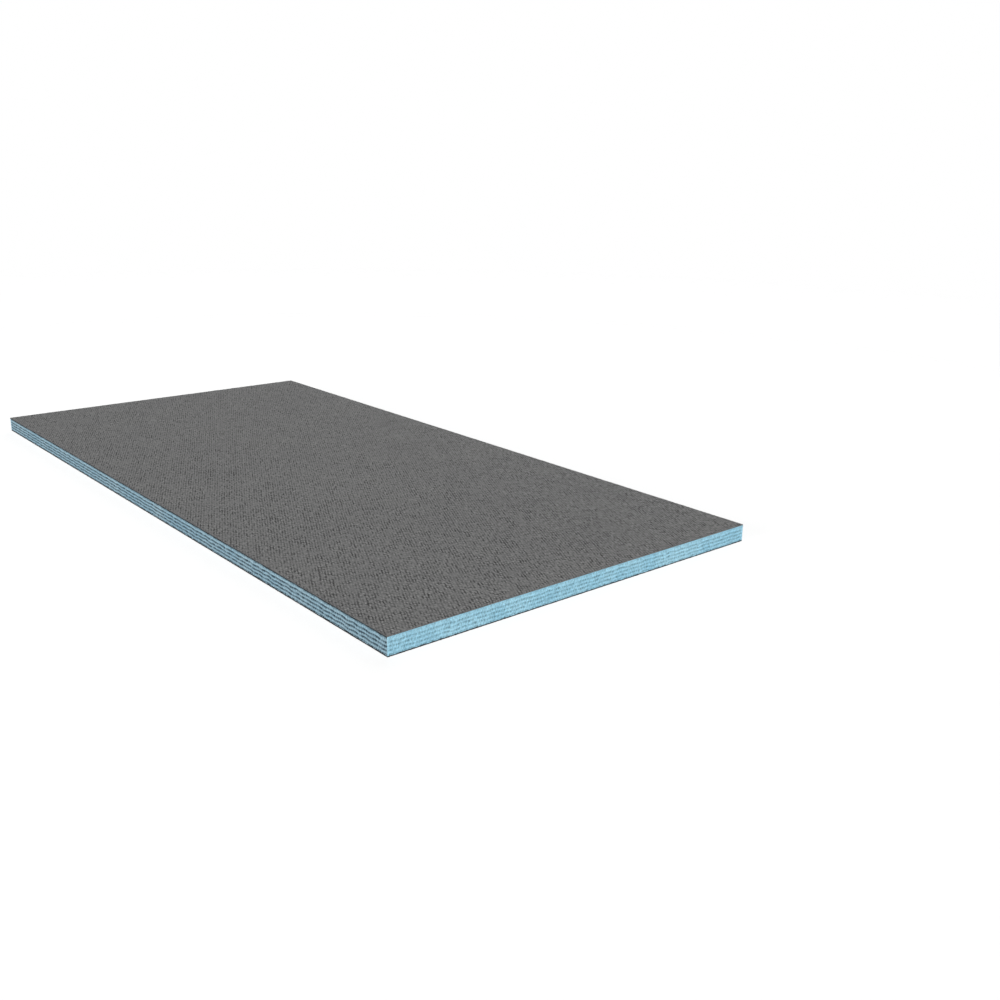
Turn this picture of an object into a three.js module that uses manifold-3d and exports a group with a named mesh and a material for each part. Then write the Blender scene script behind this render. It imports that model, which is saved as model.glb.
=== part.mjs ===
// Foam tile backer board: a sheet of blue extruded foam with a cement mortar coating on each face.
// Millimetres, +Z up. X runs along the length and Y across the width.
// The origin is the centre of the underside, where the board rests when it lies flat.

import * as THREE from 'three';
import { mergeVertices } from 'three/addons/utils/BufferGeometryUtils.js';
import Module from 'manifold-3d';

// Board
const LENGTH = 1250;
const WIDTH = 600;
const THICKNESS = 25;

// Mortar coating, the same on both faces
const COATING_THICKNESS = 1.25;

// Shallow round-bottomed grooves that run along all four foam edges, spread evenly between the outer lands
const GROOVE_COUNT = 5;
const GROOVE_MOUTH = 2.4;
const GROOVE_DEPTH = 0.6;
const GROOVE_STEPS = 8;

// Plain foam between each outermost groove and the coating beside it
const OUTER_LAND = 0.35;

// How far each cutting prism runs past the board at both ends, so that only its long sides cut
const PRISM_OVERRUN = 20;

// Colours
const FOAM_COLOUR = 0x9ecbe0;
const COATING_COLOUR = 0x6f6f6f;

const coreBottom = COATING_THICKNESS;
const coreTop = THICKNESS - COATING_THICKNESS;

const X_AXIS = new THREE.Vector3(1, 0, 0);
const Y_AXIS = new THREE.Vector3(0, 1, 0);
const Z_AXIS = new THREE.Vector3(0, 0, 1);

const wasm = await Module();
wasm.setup();

// Turns a closed three.js geometry into a solid that can be cut.
function toSolid(geometry) {
  const bare = geometry.clone();
  bare.deleteAttribute('normal');
  bare.deleteAttribute('uv');
  const merged = mergeVertices(bare);
  return new wasm.Manifold(new wasm.Mesh({
    numProp: 3,
    vertProperties: new Float32Array(merged.attributes.position.array),
    triVerts: new Uint32Array(merged.index.array),
  }));
}

// Turns a solid back into a three.js geometry.
function toGeometry(solid) {
  const mesh = solid.getMesh();
  const geometry = new THREE.BufferGeometry();
  geometry.setAttribute('position', new THREE.BufferAttribute(new Float32Array(mesh.vertProperties), 3));
  geometry.setIndex(new THREE.BufferAttribute(new Uint32Array(mesh.triVerts), 1));
  geometry.computeVertexNormals();
  return geometry;
}

// Heights of the groove centres, from the lowest to the highest.
function grooveHeights() {
  const lowest = coreBottom + OUTER_LAND + GROOVE_MOUTH / 2;
  const highest = coreTop - OUTER_LAND - GROOVE_MOUTH / 2;
  const pitch = (highest - lowest) / (GROOVE_COUNT - 1);
  return Array.from({ length: GROOVE_COUNT }, (_, i) => lowest + i * pitch);
}

// One side of the foam's section, from bottom to top: each point is its height and its depth inwards.
// Each groove is an arc through its two lips, as deep as GROOVE_DEPTH in the middle.
function edgeProfile() {
  const half = GROOVE_MOUTH / 2;
  const radius = (half * half + GROOVE_DEPTH * GROOVE_DEPTH) / (2 * GROOVE_DEPTH);
  const sweep = Math.asin(half / radius);
  const profile = [{ height: coreBottom, depth: 0 }];
  for (const middle of grooveHeights()) {
    for (let step = 0; step <= GROOVE_STEPS; step += 1) {
      const angle = sweep * ((2 * step) / GROOVE_STEPS - 1);
      const atLip = step === 0 || step === GROOVE_STEPS;
      const depth = atLip ? 0 : GROOVE_DEPTH - radius * (1 - Math.cos(angle));
      profile.push({ height: middle + radius * Math.sin(angle), depth });
    }
  }
  profile.push({ height: coreTop, depth: 0 });
  return profile;
}

// The foam's section across a board that is span wide, grooved on its two upright sides.
function coreSection(span) {
  const profile = edgeProfile();
  const right = profile.map(({ height, depth }) => new THREE.Vector2(span / 2 - depth, height));
  const left = profile.map(({ height, depth }) => new THREE.Vector2(depth - span / 2, height));
  return new THREE.Shape([...right, ...left.reverse()]);
}

// A long prism of the foam's section. It is centred, and runs along the direction given.
function corePrism(span, length, direction) {
  const run = length + 2 * PRISM_OVERRUN;
  const geometry = new THREE.ExtrudeGeometry(coreSection(span), { depth: run, bevelEnabled: false });
  geometry.translate(0, 0, -run / 2);
  const across = new THREE.Vector3().crossVectors(Z_AXIS, direction);
  geometry.applyMatrix4(new THREE.Matrix4().makeBasis(across, Z_AXIS, direction));
  return toSolid(geometry);
}

// The foam sheet: where the prism along the length meets the prism along the width.
function foamCore() {
  const alongLength = corePrism(WIDTH, LENGTH, X_AXIS);
  const alongWidth = corePrism(LENGTH, WIDTH, Y_AXIS);
  const material = new THREE.MeshStandardMaterial({ color: FOAM_COLOUR, roughness: 0.85, metalness: 0 });
  const mesh = new THREE.Mesh(toGeometry(alongLength.intersect(alongWidth)), material);
  mesh.name = 'foam_core';
  return mesh;
}

// One mortar coating, flush with the foam's edges, with its underside at the height given.
function coating(name, bottom) {
  const geometry = new THREE.BoxGeometry(LENGTH, WIDTH, COATING_THICKNESS);
  const material = new THREE.MeshStandardMaterial({ color: COATING_COLOUR, roughness: 0.95, metalness: 0 });
  const mesh = new THREE.Mesh(geometry, material);
  mesh.name = name;
  mesh.position.z = bottom + COATING_THICKNESS / 2;
  return mesh;
}

const group = new THREE.Group();
group.add(foamCore());
group.add(coating('top_coating', coreTop));
group.add(coating('bottom_coating', 0));

export default group;
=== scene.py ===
"""Foam tile backer board lying on a pale studio floor.

Metres, in the frame of the CAD part: X along the length, Y across the width, Z up, and the
origin at the centre of the underside. The foam sheet and the two mortar coatings replace the
plain CAD solids, and stay inside their boxes.
"""

import math

import bpy
import numpy as np
from mathutils import Matrix, Vector


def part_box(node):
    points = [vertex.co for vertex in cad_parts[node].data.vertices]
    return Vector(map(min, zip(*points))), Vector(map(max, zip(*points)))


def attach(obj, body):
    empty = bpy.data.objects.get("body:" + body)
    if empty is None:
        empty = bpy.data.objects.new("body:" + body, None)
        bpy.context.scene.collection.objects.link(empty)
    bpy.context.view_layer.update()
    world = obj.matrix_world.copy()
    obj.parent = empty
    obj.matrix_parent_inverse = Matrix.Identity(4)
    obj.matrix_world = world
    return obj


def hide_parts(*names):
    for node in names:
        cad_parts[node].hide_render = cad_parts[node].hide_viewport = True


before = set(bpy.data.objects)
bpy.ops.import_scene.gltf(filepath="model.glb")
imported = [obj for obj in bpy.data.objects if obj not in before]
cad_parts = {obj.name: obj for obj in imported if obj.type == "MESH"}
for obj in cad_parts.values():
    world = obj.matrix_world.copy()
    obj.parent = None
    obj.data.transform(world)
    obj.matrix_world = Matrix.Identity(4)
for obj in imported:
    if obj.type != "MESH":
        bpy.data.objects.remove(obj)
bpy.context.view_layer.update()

MM = 0.001

# Camera, as fitted to the board's corners in the photograph
CAMERA_PLACE = (1.5167, -0.9021, 0.5174)
CAMERA_HEADING = math.radians(40.30)
CAMERA_PITCH = math.radians(17.59)
CAMERA_ROLL = math.radians(0.833)
CAMERA_LENS = 39.65
CAMERA_SENSOR = 36.0

# Grooves along the foam's edges, with the CAD part's count and pitch. Those of the long sides
# look deeper and lower than those of the ends.
GROOVE_COUNT = 5
GROOVE_PITCH = 4.85 * MM
SIDE_GROOVE_DEPTH = 1.30 * MM
END_GROOVE_DEPTH = 0.75 * MM
SIDE_GROOVE_DROP = 0.70 * MM
END_GROOVE_DROP = 0.25 * MM
CORNER_MARGIN = 3.0 * MM
FOAM_SHARP_ANGLE = math.radians(60)

# Section of a groove: shares of its depth and of the bumps halfway up its flanks, and next to
# the coatings, where the foam ends in a narrow land
FLANK_SHARE = 0.40
FLANK_BUMPS = 0.5
RIM_LAND = 0.35 * MM
RIM_PLACE = 0.3
RIM_SHARE = 0.45
RIM_BUMPS = 0.3
RIM_WANDER = 0.1

# Pits along each groove, staggered from one groove to the next, and lower bumps on the ridges.
# PIT_STRAY is in radians of the pits' own wave.
STATIONS_PER_PIT = 5
PIT_PITCH = 4.0 * MM
SIDE_PIT_SHARE = 0.40
END_PIT_SHARE = 0.50
PIT_SPREAD = (0.5, 1.3)
PIT_STRAY = 1.3
BUMP_DEPTH = 0.28 * MM
FOAM_ROUGHNESS = 0.05 * MM

# How the grooves wander up and down, partly all together, and how their depth fades in and out
GROOVE_WANDER = 0.60 * MM
TOGETHER_SHARE = 0.6
GROOVE_WAVELENGTH = 34 * MM
GROOVE_FADE = 0.15
GROOVE_FADE_LIMIT = 1.2
GROOVE_FADE_WAVELENGTH = 16 * MM

# Painted shade in the grooves, more on the flanks that face up and less in the uppermost groove
SIDE_GROOVE_SHADE = 1.45
END_GROOVE_SHADE = 0.85
TOP_GROOVE_SHADE = 0.6
UPWARD_FLANK_SHADE = 0.6
DOWNWARD_FLANK_SHADE = 0.2
LOWER_LAND_SHADE = 0.4
UPPER_LAND_SHADE = 0.1
BUMP_SHADE = 0.4

# How far a painted dark band of shade reaches over the foam from its lower and its upper rim
LOWER_RIM_SHADE_REACH = 0.6 * MM
UPPER_RIM_SHADE_REACH = 3.6 * MM

# Knuckles of the mesh embedded in each coating: rows across the width, each row half a pitch
# along. Hollowness goes from 0 at the coating's face to 1 at the full knuckle height below it.
ROW_PITCH = 4.0 * MM
KNUCKLE_PITCH = 4.0 * MM
KNUCKLE_HEIGHT = 0.36 * MM
KNUCKLE_HOLLOW = 0.34
GAP_HOLLOW = 0.66
HOLLOW_SPREAD = 0.30
EDGE_HOLLOW = (0.35, 1.0)
KNUCKLE_STRAY = (1.3 * MM, 0.45 * MM)
STRAND_WANDER = 0.40 * MM
STRAND_WAVELENGTH = 120 * MM
TROWEL_HEIGHT = 0.08 * MM
TROWEL_WAVELENGTH = 160 * MM

# Sawn edges of the coatings, ragged at the face and smoother towards the foam
CUT_RAGGED = 0.16 * MM
CUT_TAPER = 0.6
CUT_LEVELS = 4

# Smooth random lines and planes: how many waves they sum, and how far the wavelengths spread
LINE_WAVES = 5
LINE_SPREAD = (0.55, 1.7)
PLANE_WAVES = 7
PLANE_SPREAD = (0.6, 1.8)
PLANE_PEAK = 1.5

# Seeds of the random draws
FOAM_SEED = 11
TOP_SEED = 23
BOTTOM_SEED = 37

# Colours
FOAM_BLUE = (0.312, 0.610, 0.770, 1)
FOAM_PALE = (0.450, 0.750, 0.880, 1)
# Painted shade: the colour that the grooves, pits and bumps go towards
FOAM_DEEP = (0.025, 0.060, 0.085, 1)
# Painted shade: a near-black band along the coatings' rims
FOAM_RIM_SHADE = (0.022, 0.025, 0.028, 1)
# Painted sheen: the long sides made redder and less blue, for their whitish reflection
LONG_SIDE_PAINTED_SHEEN = (1.19, 0.98, 0.95)
MORTAR_GREY = (0.110, 0.110, 0.110, 1)
MORTAR_PALE = (0.116, 0.116, 0.115, 1)
TOP_CUT = (0.170, 0.170, 0.170, 1)
# Painted shade: the bottom coating's sawn edge, much darker than the top's
BOTTOM_CUT_SHADED = (0.032, 0.032, 0.033, 1)
FLOOR_WHITE = (0.98, 0.98, 0.98, 1)

# How fine each pattern in the materials is, in lumps a metre
FOAM_CLOUDS = 25
FOAM_BLOTS = 160
FOAM_SPECKS = 420
FOAM_GRAIN = 650
FOAM_CELLS = 1400
MORTAR_CLOUDS = 14
MORTAR_PATCHES = 60
MORTAR_LUMPS = 290
MORTAR_SAND = 900
MORTAR_GRIT = 1100
CUT_CLOUDS = 60
CUT_SAND = 1300
FLOOR_CLOUDS = 3

# The band that most values of a noise lie in
NOISE_BAND = (0.3, 0.7)

# Relief that the materials add to the meshes
CELL_RELIEF = 0.08 * MM
GRAIN_RELIEF = 0.30 * MM
WEAVE_RELIEF = 0.20 * MM
SAND_RELIEF = 0.20 * MM
GRIT_RELIEF = 0.06 * MM
CUT_RELIEF = 0.25 * MM

# Painted shade and highlights on the mortar's face: the weights of the mesh, the weave and the lumps,
# and the tints that the lowest points get as painted shade and the highest as painted highlight
HOLLOW_WEIGHT = 2.9
WEAVE_WEIGHT = 0.45
LUMP_WEIGHT = 0.25
ROW_SHARE = 0.35
PAINTED_LIGHT_SPAN = 1.3
PAINTED_SHADE_AND_HIGHLIGHT = (0.20, 2.20)

# Strength of the mirror-like reflection
FOAM_SHINE = 0.05
MORTAR_SHINE = 0.10
CUT_SHINE = 0.20

# Studio floor, which turns clear away from the board, and the distance of its lamps
FLOOR_RADIUS = 4.0
FLOOR_SIDES = 96
FLOOR_DROP = 0.1 * MM
FLOOR_FADE_START = 1.0
FLOOR_FADE_END = 3.4
FLOOR_CLEAR = 0.60
LAMP_DISTANCE = 3


def mesh_piece(name, points, faces, smooth):
    """A mesh object from its points and faces, smooth shaded or faceted."""
    mesh = bpy.data.meshes.new(name)
    mesh.from_pydata(points, [], faces)
    mesh.polygons.foreach_set("use_smooth", np.full(len(mesh.polygons), smooth))
    mesh.update()
    piece = bpy.data.objects.new(name, mesh)
    bpy.context.scene.collection.objects.link(piece)
    return piece


def point_values(piece, name, values):
    """Keeps one number for each point of a piece, for its material to read."""
    attribute = piece.data.attributes.new(name, "FLOAT", "POINT")
    attribute.data.foreach_set("value", values.astype(np.float32))


def wander(places, wavelength, rng):
    """Smooth random values, mostly between -1 and 1, at places along a line."""
    total = np.zeros(np.shape(places))
    for _ in range(LINE_WAVES):
        length = wavelength * rng.uniform(*LINE_SPREAD)
        total += np.sin(2 * math.pi * places / length + rng.uniform(0, 2 * math.pi))
    return total / math.sqrt(LINE_WAVES)


def swell(x, y, wavelength, rng):
    """Smooth random values between about -1 and 1 over a plane."""
    total = np.zeros(np.broadcast(x, y).shape)
    for _ in range(PLANE_WAVES):
        turn = rng.uniform(0, math.pi)
        along = x * math.cos(turn) + y * math.sin(turn)
        length = wavelength * rng.uniform(*PLANE_SPREAD)
        total += np.sin(2 * math.pi * along / length + rng.uniform(0, 2 * math.pi))
    return total / math.sqrt(PLANE_WAVES) / PLANE_PEAK


def smoothstep(t):
    """0 below 0, 1 above 1, and a smooth rise between them."""
    t = np.clip(t, 0, 1)
    return t * t * (3 - 2 * t)


def band_faces(levels, count):
    """Quads between closed loops of count points each, numbered from the lowest loop up."""
    level, station = np.meshgrid(np.arange(levels - 1), np.arange(count), indexing="ij")
    after = (station + 1) % count
    low, high = level * count, (level + 1) * count
    quads = np.stack([low + station, low + after, high + after, high + station], -1)
    return quads.reshape(-1, 4).tolist()


def rectangle_stations(low, high, step):
    """Points anticlockwise round the box's outline, each about a step from the last.

    Returns their places, the directions inwards, the distance along the station's own side,
    the distance from the nearer corner and whether the side runs along X."""
    corners = [(low.x, low.y), (high.x, low.y), (high.x, high.y), (low.x, high.y)]
    places, inwards, distances, to_corner, along_x = [], [], [], [], []
    for side in range(4):
        start, end = np.array(corners[side]), np.array(corners[(side + 1) % 4])
        length = np.linalg.norm(end - start)
        along = (end - start) / length
        inward = np.array([-along[1], along[0]])
        count = round(length / step)
        distance = np.arange(count) * length / count
        turn_in = np.repeat([inward], count, axis=0)
        turn_in[0] += along
        places.append(start + np.outer(distance, along))
        inwards.append(turn_in)
        distances.append(distance)
        to_corner.append(np.minimum(distance, length - distance))
        along_x.append(np.full(count, side % 2 == 0))
    return tuple(np.concatenate(part) for part in (places, inwards, distances, to_corner, along_x))


def foam_levels(low, high):
    """Heights up the foam's edge between its two rims, from the lowest groove to the highest.

    Each row is a height, its place in the run of grooves, its share of a groove's depth, its
    share of the bumps and its share of the painted shade."""
    lowest = (low.z + high.z) / 2 - (GROOVE_COUNT - 1) / 2 * GROOVE_PITCH
    groove, ridge = (1.0, 0.0, 1.0), (0.0, 1.0, 0.0)
    flank_down = (FLANK_SHARE, FLANK_BUMPS, DOWNWARD_FLANK_SHADE)
    flank_up = (FLANK_SHARE, FLANK_BUMPS, UPWARD_FLANK_SHADE)
    shapes = [groove, flank_down, ridge, flank_up]
    rows = [(low.z + RIM_LAND, -RIM_PLACE, RIM_SHARE, RIM_BUMPS, LOWER_LAND_SHADE)]
    for quarter in range(4 * (GROOVE_COUNT - 1) + 1):
        place = quarter / 4
        groove_share, bump_share, shade_share = shapes[quarter % 4]
        if place > GROOVE_COUNT - 1.5:
            shade_share *= TOP_GROOVE_SHADE
        rows.append((lowest + place * GROOVE_PITCH, place, groove_share, bump_share, shade_share))
    highest_place = GROOVE_COUNT - 1 + RIM_PLACE
    rows.append((high.z - RIM_LAND, highest_place, RIM_SHARE, RIM_BUMPS, UPPER_LAND_SHADE))
    return rows


def rim_shade_share(height, low, high, along_x):
    """How far the painted dark band of shade next to the coatings covers the foam, from 0 to 1.

    It lies along the whole lower rim, but along the upper rim on the long sides only."""
    lower = smoothstep(1 - (height - low.z) / LOWER_RIM_SHADE_REACH)
    upper = smoothstep(1 - (high.z - height) / UPPER_RIM_SHADE_REACH)
    return np.maximum(lower, np.where(along_x, upper, 0.0))


def foam_loops(low, high, rng):
    """Closed loops of points round the foam, from its lower face up to its upper one.

    Returns the loops, the painted shade of the grooves and of the rims at their points, and
    which stations are on sides that run along X."""
    stations = rectangle_stations(low, high, PIT_PITCH / STATIONS_PER_PIT)
    places, inwards, distance, to_corner, along_x = stations
    count = len(places)
    around = np.arange(count) * PIT_PITCH / STATIONS_PER_PIT
    fade = smoothstep(to_corner / CORNER_MARGIN)
    groove_depth = np.where(along_x, SIDE_GROOVE_DEPTH, END_GROOVE_DEPTH)
    groove_drop = np.where(along_x, SIDE_GROOVE_DROP, END_GROOVE_DROP)
    groove_shade = np.where(along_x, SIDE_GROOVE_SHADE, END_GROOVE_SHADE)
    pit_share = np.where(along_x, SIDE_PIT_SHARE, END_PIT_SHARE)
    together = wander(around, GROOVE_WAVELENGTH, rng)
    alone = np.array([wander(around, GROOVE_WAVELENGTH, rng) for _ in range(GROOVE_COUNT)])
    wear_and_shade = np.array([wander(around, GROOVE_FADE_WAVELENGTH, rng) for _ in range(GROOVE_COUNT)])
    rows = foam_levels(low, high)
    loops = [np.column_stack([places, np.full(count, low.z)])]
    hollow = [np.zeros(count)]
    rim_shade = [rim_shade_share(low.z, low, high, along_x)]
    for number, (height, place, groove_share, bump_share, shade_share) in enumerate(rows):
        nearest = min(max(round(place), 0), GROOVE_COUNT - 1)
        phase = math.pi * nearest + PIT_STRAY * wear_and_shade[nearest]
        wave = np.cos(2 * math.pi * distance / PIT_PITCH + phase)
        pit = 1 - pit_share * (0.5 - 0.5 * wave) * rng.uniform(*PIT_SPREAD, count)
        wear = wear_and_shade[nearest].clip(-GROOVE_FADE_LIMIT, GROOVE_FADE_LIMIT)
        pit = pit * (1 - GROOVE_FADE + GROOVE_FADE * wear)
        bumps = BUMP_DEPTH * bump_share * rng.uniform(0, 1, count)
        uneven = rng.normal(0, FOAM_ROUGHNESS, count)
        depth = np.maximum(0, groove_share * groove_depth * pit + bumps + uneven) * fade
        lower = min(max(math.floor(place), 0), GROOVE_COUNT - 1)
        upper = min(lower + 1, GROOVE_COUNT - 1)
        own = alone[lower] + (alone[upper] - alone[lower]) * (place - lower)
        sway = TOGETHER_SHARE * together + (1 - TOGETHER_SHARE) * own
        shift = (GROOVE_WANDER * sway - groove_drop) * fade
        if number in (0, len(rows) - 1):
            shift = shift * RIM_WANDER
        loops.append(np.column_stack([places + inwards * depth[:, None], height + shift]))
        # Painted shade: the grooves, pits and bumps get their share of darkening
        hollow.append((shade_share * groove_shade * pit + BUMP_SHADE * bumps / BUMP_DEPTH) * fade)
        # Painted shade: a dark band along the coatings' rims
        rim_shade.append(rim_shade_share(height + shift, low, high, along_x))
    loops.append(np.column_stack([places, np.full(count, high.z)]))
    hollow.append(np.zeros(count))
    rim_shade.append(rim_shade_share(high.z, low, high, along_x))
    return loops, hollow, rim_shade, along_x


def foam_sheet():
    """The foam core, with wavering grooves and staggered pits round its edges."""
    rng = np.random.default_rng(FOAM_SEED)
    low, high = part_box("foam_core")
    loops, hollow, rim_shade, along_x = foam_loops(low, high, rng)
    count = len(along_x)
    faces = band_faces(len(loops), count)
    faces.append(list(range(count - 1, -1, -1)))
    faces.append(list(range((len(loops) - 1) * count, len(loops) * count)))
    piece = mesh_piece("foam_sheet", np.concatenate(loops), faces, True)
    piece.data.set_sharp_from_angle(angle=FOAM_SHARP_ANGLE)
    # The foam's hollow values are its share of painted shade
    point_values(piece, "hollow", np.concatenate(hollow))
    point_values(piece, "rim_shade", np.concatenate(rim_shade))
    point_values(piece, "long_side", np.tile(along_x, len(loops)))
    piece.data.materials.append(foam_material())
    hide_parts("foam_core")
    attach(piece, "root")


def knuckle_lattice(low, high, rng):
    """The coating's outer face as a lattice: places, depths below the face, hollowness and numbers.

    Every other point is the top of a knuckle, and the points between them are low."""
    rows = round((high.x - low.x) / ROW_PITCH)
    columns = round((high.y - low.y) / (KNUCKLE_PITCH / 2))
    i, j = np.meshgrid(np.arange(rows + 1), np.arange(columns + 1), indexing="ij")
    x = low.x + (high.x - low.x) * i / rows
    y = low.y + (high.y - low.y) * j / columns
    at_edge = (i == 0) | (i == rows) | (j == 0) | (j == columns)
    inner = np.where(at_edge, 0.0, 1.0)
    stray_x = KNUCKLE_STRAY[0] * rng.uniform(-1, 1, i.shape)
    stray_y = KNUCKLE_STRAY[1] * rng.uniform(-1, 1, i.shape)
    moved_x = x + inner * (stray_x + STRAND_WANDER * swell(x, y, STRAND_WAVELENGTH, rng))
    moved_y = y + inner * (stray_y + STRAND_WANDER * swell(x, y, STRAND_WAVELENGTH, rng))
    top = (i + j) % 2 == 0
    scatter = rng.uniform(-1, 1, i.shape)
    around = [np.roll(scatter, step, axis) for step in (-1, 1) for axis in (0, 1)]
    scatter = scatter - sum(around) / 4
    hollow = (np.where(top, KNUCKLE_HOLLOW, GAP_HOLLOW) + HOLLOW_SPREAD * scatter).clip(0, 1)
    depth = KNUCKLE_HEIGHT * hollow
    depth += TROWEL_HEIGHT * (0.5 + 0.5 * swell(x, y, TROWEL_WAVELENGTH, rng).clip(-1, 1))
    depth[at_edge] = KNUCKLE_HEIGHT * rng.uniform(*EDGE_HOLLOW, at_edge.sum())
    return np.stack([moved_x, moved_y], -1), depth, hollow, i, j


def lattice_faces(i, j):
    """Two triangles in each cell, split so that the low points join and each knuckle stands alone."""
    columns = i.shape[1]
    number = i * columns + j
    a, b = number[:-1, :-1], number[1:, :-1]
    c, d = number[1:, 1:], number[:-1, 1:]
    a_is_top = ((i + j) % 2 == 0)[:-1, :-1]
    a_alone = np.stack([a, b, d, b, c, d], -1)
    b_alone = np.stack([a, b, c, a, c, d], -1)
    cells = np.where(a_is_top[..., None], a_alone, b_alone)
    return cells.reshape(-1, 3).tolist()


def outline_numbers(i):
    """Numbers of the lattice's border points, anticlockwise from the first corner."""
    rows, columns = i.shape
    number = np.arange(rows * columns).reshape(rows, columns)
    sides = [number[:-1, 0], number[-1, :-1], number[:0:-1, -1], number[0, :0:-1]]
    return np.concatenate(sides)


def cut_loops(rim, low, high, rng):
    """Loops of points down the coating's sawn edge, below its rim, the last on the inner face."""
    thick = high.z - low.z
    middle = np.array([(low.x + high.x) / 2, (low.y + high.y) / 2])
    half = np.array([high.x, high.y]) - middle
    loops = []
    for level in range(1, CUT_LEVELS):
        share = level / (CUT_LEVELS - 1)
        inset = rng.uniform(0, CUT_RAGGED, (len(rim), 2)) * (1 - CUT_TAPER * share)
        place = middle + np.clip(rim[:, :2] - middle, -half + inset, half - inset)
        loops.append(np.column_stack([place, rim[:, 2] + (thick - rim[:, 2]) * share]))
    return loops


def weave_map(piece, i, j):
    """Keeps the lattice's numbers as a map: its rows one way, and pairs of its columns the other."""
    weave = piece.data.uv_layers.new(name="Weave")
    lattice = np.zeros((len(piece.data.vertices), 2), np.float32)
    lattice[:i.size] = np.column_stack([i.ravel(), j.ravel() / 2])
    corner = np.zeros(len(piece.data.loops), np.int32)
    piece.data.loops.foreach_get("vertex_index", corner)
    weave.data.foreach_set("uv", lattice[corner].ravel())


def coating_sheet(name, node, facing_up, cut_colour, seed):
    """One mortar coating: knuckles on its outer face, ragged sawn edges and a flat inner face."""
    rng = np.random.default_rng(seed)
    low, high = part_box(node)
    flat, depth, hollow, i, j = knuckle_lattice(low, high, rng)
    face_points = np.column_stack([flat.reshape(-1, 2), depth.ravel()])
    outline = outline_numbers(i)
    loops = cut_loops(face_points[outline], low, high, rng)
    points = np.concatenate([face_points, *loops])
    count = len(outline)
    first = len(face_points)
    rings = [outline] + [np.arange(count) + first + n * count for n in range(len(loops))]
    faces = lattice_faces(i, j)
    outer = len(faces)
    for upper, lower in zip(rings, rings[1:]):
        quads = np.stack([upper, lower, np.roll(lower, -1), np.roll(upper, -1)], -1)
        faces.extend(quads.tolist())
    faces.append(rings[-1][::-1].tolist())
    if facing_up:
        points[:, 2] = high.z - points[:, 2]
    else:
        points[:, 2] = low.z + points[:, 2]
        faces = [face[::-1] for face in faces]
    piece = mesh_piece(name, points, faces, False)
    weave_map(piece, i, j)
    point_values(piece, "hollow", np.concatenate([hollow.ravel(), np.ones(len(points) - first)]))
    cut = np.arange(len(faces)) >= outer
    piece.data.polygons.foreach_set("material_index", cut.astype(np.int32))
    piece.data.materials.append(mortar_face_material(name + "_face"))
    piece.data.materials.append(mortar_cut_material(name + "_cut", cut_colour))
    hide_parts(node)
    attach(piece, "root")
    return piece


class Shader:
    """Builds one material's nodes."""

    def __init__(self, name):
        self.material = bpy.data.materials.new(name)
        self.material.use_nodes = True
        self.nodes = self.material.node_tree.nodes
        self.links = self.material.node_tree.links
        self.nodes.clear()

    def add(self, kind, inputs=(), **settings):
        """A node with its settings, and its inputs each set to a value or fed by a socket."""
        node = self.nodes.new("ShaderNode" + kind)
        for key, value in settings.items():
            setattr(node, key, value)
        for socket, value in dict(inputs).items():
            self.feed(node.inputs[socket], value)
        return node

    def feed(self, socket, value):
        """Links a socket to another, or sets its value."""
        if isinstance(value, bpy.types.NodeSocket):
            self.links.new(value, socket)
        else:
            socket.default_value = value

    def place(self):
        """Each point's place on the piece, in metres."""
        return self.add("TexCoord").outputs["Object"]

    def kept(self, name):
        """A number that the mesh keeps for each of its points."""
        return self.add("Attribute", attribute_name=name).outputs["Fac"]

    def math(self, operation, a, b=0.0):
        """The result of one sum."""
        return self.add("Math", {0: a, 1: b}, operation=operation).outputs[0]

    def ranged(self, value, low, high, new_low, new_high):
        """A value moved from one range to another, and held there."""
        inputs = {0: value, 1: low, 2: high, 3: new_low, 4: new_high}
        return self.add("MapRange", inputs).outputs[0]

    def noise(self, place, scale, detail=2.0, rough=0.5):
        """Noise between 0 and 1, with scale lumps a metre."""
        inputs = {"Vector": place, "Scale": scale, "Detail": detail, "Roughness": rough}
        return self.add("TexNoise", inputs).outputs[0]

    def cells(self, place, scale, uneven=1.0):
        """Distance from the middle of the nearest cell, with scale cells a metre."""
        inputs = {"Vector": place, "Scale": scale, "Randomness": uneven}
        return self.add("TexVoronoi", inputs).outputs["Distance"]

    def tinted(self, colour, factor):
        """A colour times a factor."""
        colour = colour if isinstance(colour, bpy.types.NodeSocket) else colour[:3]
        node = self.add("VectorMath", {0: colour, "Scale": factor}, operation="SCALE")
        return node.outputs[0]

    def mixed(self, share, a, b):
        """Colour a, going over to colour b as share goes from 0 to 1."""
        node = self.add("Mix", data_type="RGBA")
        self.feed(node.inputs["Factor"], share)
        self.feed(node.inputs["A"], a)
        self.feed(node.inputs["B"], b)
        return node.outputs["Result"]

    def bump(self, height, distance, strength=1.0, normal=None):
        """A normal bent by a height, which goes up to distance in metres."""
        inputs = {"Height": height, "Distance": distance, "Strength": strength}
        if normal is not None:
            inputs["Normal"] = normal
        return self.add("Bump", inputs).outputs[0]

    def finish(self, colour, rough, normal, shine):
        """The surface itself."""
        inputs = {"Base Color": colour, "Roughness": rough, "Normal": normal}
        surface = self.add("BsdfPrincipled", inputs)
        surface.inputs["Specular IOR Level"].default_value = shine
        self.add("OutputMaterial", {"Surface": surface.outputs[0]})
        return self.material


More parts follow.
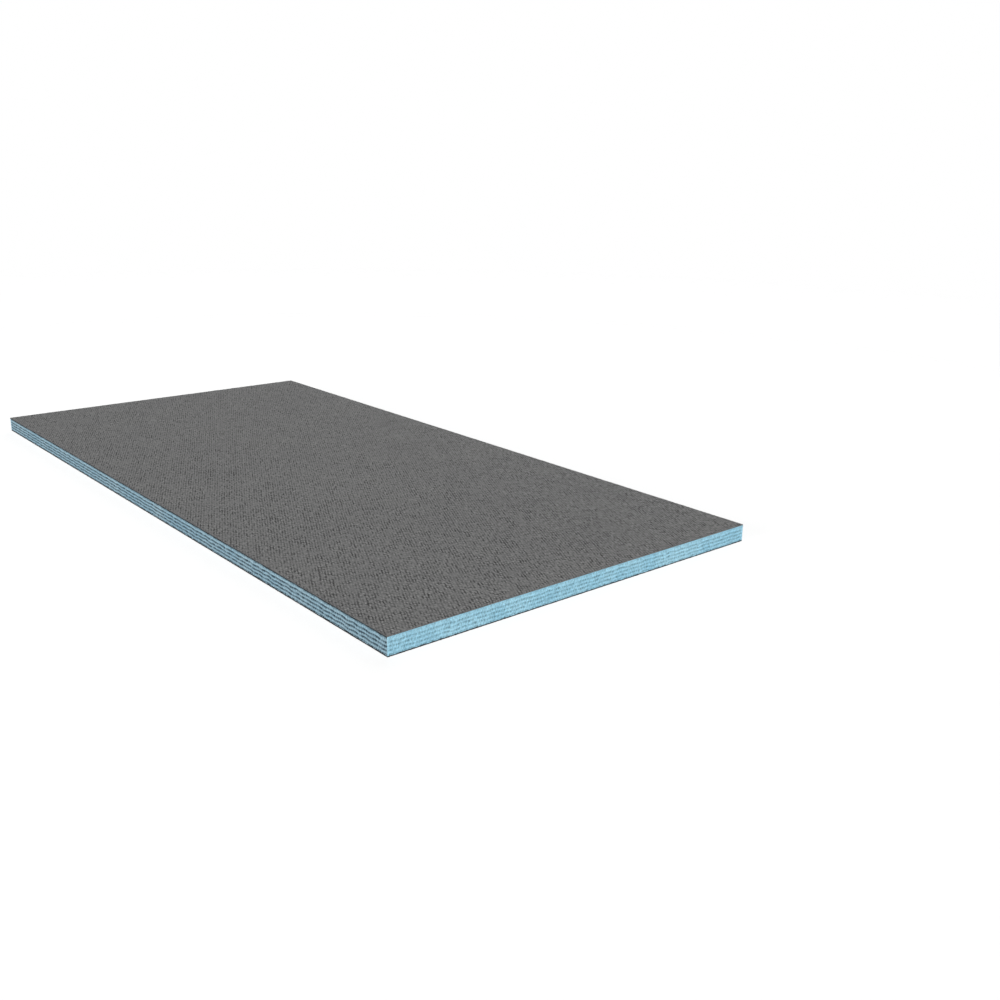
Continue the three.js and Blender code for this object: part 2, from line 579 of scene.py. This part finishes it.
def foam_material():
    """Extruded foam as cut: fine closed cells, pale on the ridges and deeper blue in the hollows as
    painted shade, with a painted sheen on the long sides and a painted dark band of shade along the
    coatings' rims.
    """
    s = Shader("blue_foam")
    place = s.place()
    cloud = s.noise(place, FOAM_CLOUDS, 3)
    grain = s.noise(place, FOAM_GRAIN, 3, 0.6)
    cells = s.cells(place, FOAM_CELLS)
    pale = s.ranged(s.math("ADD", cloud, s.math("MULTIPLY", grain, 0.8)), 0.6, 1.2, 0.0, 1.0)
    colour = s.mixed(pale, FOAM_BLUE, FOAM_PALE)
    # Painted shade: the grooves, pits and bumps go deeper blue
    wear_and_shade = s.math("ADD", s.kept("hollow"), s.ranged(grain, *NOISE_BAND, -0.15, 0.15))
    colour = s.mixed(s.ranged(wear_and_shade, 0.15, 1.00, 0.0, 0.95), colour, FOAM_DEEP)
    # Painted sheen: the long sides get a redder, less blue colour
    painted_sheen = s.add("VectorMath", {0: colour, 1: LONG_SIDE_PAINTED_SHEEN}, operation="MULTIPLY").outputs[0]
    colour = s.mixed(s.kept("long_side"), colour, painted_sheen)
    specks = s.noise(place, FOAM_SPECKS, 1)
    colour = s.tinted(colour, s.ranged(specks, *NOISE_BAND, 0.84, 1.16))
    colour = s.tinted(colour, s.ranged(cells, 0.0, 0.7, 0.86, 1.10))
    blots = s.noise(place, FOAM_BLOTS, 2)
    # Painted shade: a dark band along the coatings' rims, made ragged by blots
    rim_shade = s.math("ADD", s.kept("rim_shade"), s.ranged(blots, *NOISE_BAND, -0.22, 0.22))
    colour = s.mixed(s.ranged(rim_shade, 0.20, 0.70, 0.0, 1.0), colour, FOAM_RIM_SHADE)
    normal = s.bump(cells, CELL_RELIEF, 0.5)
    normal = s.bump(grain, GRAIN_RELIEF, 0.8, normal)
    rough = s.ranged(grain, *NOISE_BAND, 0.65, 0.85)
    return s.finish(colour, rough, normal, FOAM_SHINE)


def weave_relief(s):
    """Height of the mesh's weave: staggered knuckles, and the strands that join them in rows."""
    weave = s.add("SeparateXYZ", {0: s.add("UVMap", uv_map="Weave").outputs[0]})
    row, column = weave.outputs["X"], weave.outputs["Y"]
    across = s.math("COSINE", s.math("MULTIPLY", column, 2 * math.pi))
    stagger = s.math("COSINE", s.math("MULTIPLY", row, math.pi))
    rows = s.math("COSINE", s.math("MULTIPLY", row, 2 * math.pi))
    knuckle = s.math("MULTIPLY", across, stagger)
    return s.math("ADD", s.math("MULTIPLY", rows, ROW_SHARE), knuckle)


def mortar_face_material(name):
    """The coated face: grey cement over glass mesh, with knuckles, fine strands and sand, and painted
    shade in the mesh's hollows and painted highlights on its knuckles and lumps.
    """
    s = Shader(name)
    place = s.place()
    patches = s.noise(place, MORTAR_PATCHES, 3, 0.6)
    clear = s.ranged(patches, 0.35, 0.60, 0.45, 1.10)
    relief = s.math("MULTIPLY", weave_relief(s), clear)
    lump = s.cells(place, MORTAR_LUMPS, 0.75)
    edge = s.ranged(lump, 0.15, 0.75, 1.0, -1.0)
    sand = s.noise(place, MORTAR_SAND, 4, 0.65)
    grit = s.cells(place, MORTAR_GRIT)
    cloud = s.noise(place, MORTAR_CLOUDS, 4, 0.55)
    colour = s.mixed(s.ranged(cloud, 0.35, 0.65, 0.0, 1.0), MORTAR_GREY, MORTAR_PALE)
    colour = s.tinted(colour, s.ranged(sand, *NOISE_BAND, 0.75, 1.25))
    # Painted shade and highlight: the hollows darker, the knuckles, strands and lumps' middles lighter
    height = s.math("MULTIPLY", s.math("SUBTRACT", 0.5, s.kept("hollow")), HOLLOW_WEIGHT)
    height = s.math("MULTIPLY", height, clear)
    height = s.math("ADD", height, s.math("MULTIPLY", relief, WEAVE_WEIGHT))
    height = s.math("ADD", height, s.math("MULTIPLY", edge, LUMP_WEIGHT))
    colour = s.tinted(colour, s.ranged(height, -PAINTED_LIGHT_SPAN, PAINTED_LIGHT_SPAN, *PAINTED_SHADE_AND_HIGHLIGHT))
    normal = s.bump(relief, WEAVE_RELIEF)
    normal = s.bump(sand, SAND_RELIEF, 0.8, normal)
    normal = s.bump(grit, GRIT_RELIEF, 0.5, normal)
    rough = s.ranged(sand, *NOISE_BAND, 0.82, 0.98)
    return s.finish(colour, rough, normal, MORTAR_SHINE)


def mortar_cut_material(name, cut_colour):
    """The coating's sawn edge: broken sandy cement."""
    s = Shader(name)
    place = s.place()
    sand = s.noise(place, CUT_SAND, 4, 0.65)
    cloud = s.noise(place, CUT_CLOUDS, 3)
    colour = s.tinted(cut_colour, s.ranged(sand, *NOISE_BAND, 0.40, 1.40))
    colour = s.tinted(colour, s.ranged(cloud, *NOISE_BAND, 0.60, 1.40))
    normal = s.bump(sand, CUT_RELIEF, 0.9)
    rough = s.ranged(sand, *NOISE_BAND, 0.80, 0.95)
    return s.finish(colour, rough, normal, CUT_SHINE)


def floor_material():
    """A pale surface that lets the white backdrop through, and fades into it away from the board."""
    s = Shader("studio_floor")
    place = s.place()
    far = s.add("VectorMath", {0: place}, operation="LENGTH").outputs["Value"]
    pale = s.noise(place, FLOOR_CLOUDS, 2)
    colour = s.tinted(FLOOR_WHITE, s.ranged(pale, 0, 1, 0.99, 1.01))
    white = s.add("BsdfDiffuse", {"Color": colour})
    clear = s.add("BsdfTransparent")
    share = s.ranged(far, FLOOR_FADE_START, FLOOR_FADE_END, FLOOR_CLEAR, 1.0)
    mix = s.add("MixShader", {0: share, 1: white.outputs[0], 2: clear.outputs[0]})
    s.add("OutputMaterial", {"Surface": mix.outputs[0]})
    return s.material


def studio_floor():
    """A round floor just under the board."""
    turns = np.linspace(0, 2 * math.pi, FLOOR_SIDES + 1)[:-1]
    rim = np.column_stack([np.cos(turns), np.sin(turns), np.zeros(FLOOR_SIDES)]) * FLOOR_RADIUS
    floor = mesh_piece("studio_floor", rim, [list(range(FLOOR_SIDES))], False)
    floor.location.z = -FLOOR_DROP
    floor.data.materials.append(floor_material())


def soft_sun(name, heading, height, angle, strength):
    """An even light from a heading (degrees anticlockwise from +X) and a height above the floor.

    A strength of 1 shows a surface that faces it in its own colour."""
    lamp = bpy.data.lights.new(name, "SUN")
    lamp.angle = math.radians(angle)
    lamp.energy = strength * math.pi
    turn, lift = math.radians(heading), math.radians(height)
    source = Vector((math.cos(lift) * math.cos(turn), math.cos(lift) * math.sin(turn), math.sin(lift)))
    light = bpy.data.objects.new(name, lamp)
    light.location = LAMP_DISTANCE * source
    light.rotation_euler = (-source).to_track_quat("-Z", "Y").to_euler()
    bpy.context.scene.collection.objects.link(light)


def studio_lights():
    """A key light towards the near end, three weaker lights round it, and a white backdrop."""
    soft_sun("key", heading=-14, height=42, angle=12, strength=0.98)
    soft_sun("above", heading=0, height=88, angle=15, strength=0.16)
    soft_sun("side", heading=-90, height=15, angle=20, strength=0.37)
    soft_sun("fill", heading=127, height=30, angle=40, strength=0.30)
    world = bpy.data.worlds.new("backdrop")
    bpy.context.scene.world = world
    world.use_nodes = True
    world.node_tree.nodes["Background"].inputs["Color"].default_value = (1, 1, 1, 1)
    world.node_tree.nodes["Background"].inputs["Strength"].default_value = 1.0
    world.cycles_visibility.diffuse = False


def photo_camera():
    """The photograph's viewpoint."""
    forward = Vector(
        (
            -math.cos(CAMERA_HEADING) * math.cos(CAMERA_PITCH),
            math.sin(CAMERA_HEADING) * math.cos(CAMERA_PITCH),
            -math.sin(CAMERA_PITCH),
        )
    )
    level_right = Vector((math.sin(CAMERA_HEADING), math.cos(CAMERA_HEADING), 0))
    level_up = level_right.cross(forward)
    right = math.cos(CAMERA_ROLL) * level_right + math.sin(CAMERA_ROLL) * level_up
    up = math.cos(CAMERA_ROLL) * level_up - math.sin(CAMERA_ROLL) * level_right
    turn = Matrix((right, up, -forward)).transposed()
    data = bpy.data.cameras.new("photo_camera")
    data.lens = CAMERA_LENS
    data.sensor_width = CAMERA_SENSOR
    camera = bpy.data.objects.new("photo_camera", data)
    camera.matrix_world = Matrix.Translation(CAMERA_PLACE) @ turn.to_4x4()
    bpy.context.scene.collection.objects.link(camera)
    bpy.context.scene.camera = camera


bpy.context.scene.view_settings.view_transform = "Standard"
photo_camera()
studio_floor()
studio_lights()
foam_sheet()
coating_sheet("top_mortar", "top_coating", True, TOP_CUT, TOP_SEED)
# The bottom coating's sawn edge gets the darker cut colour as painted shade
coating_sheet("bottom_mortar", "bottom_coating", False, BOTTOM_CUT_SHADED, BOTTOM_SEED)
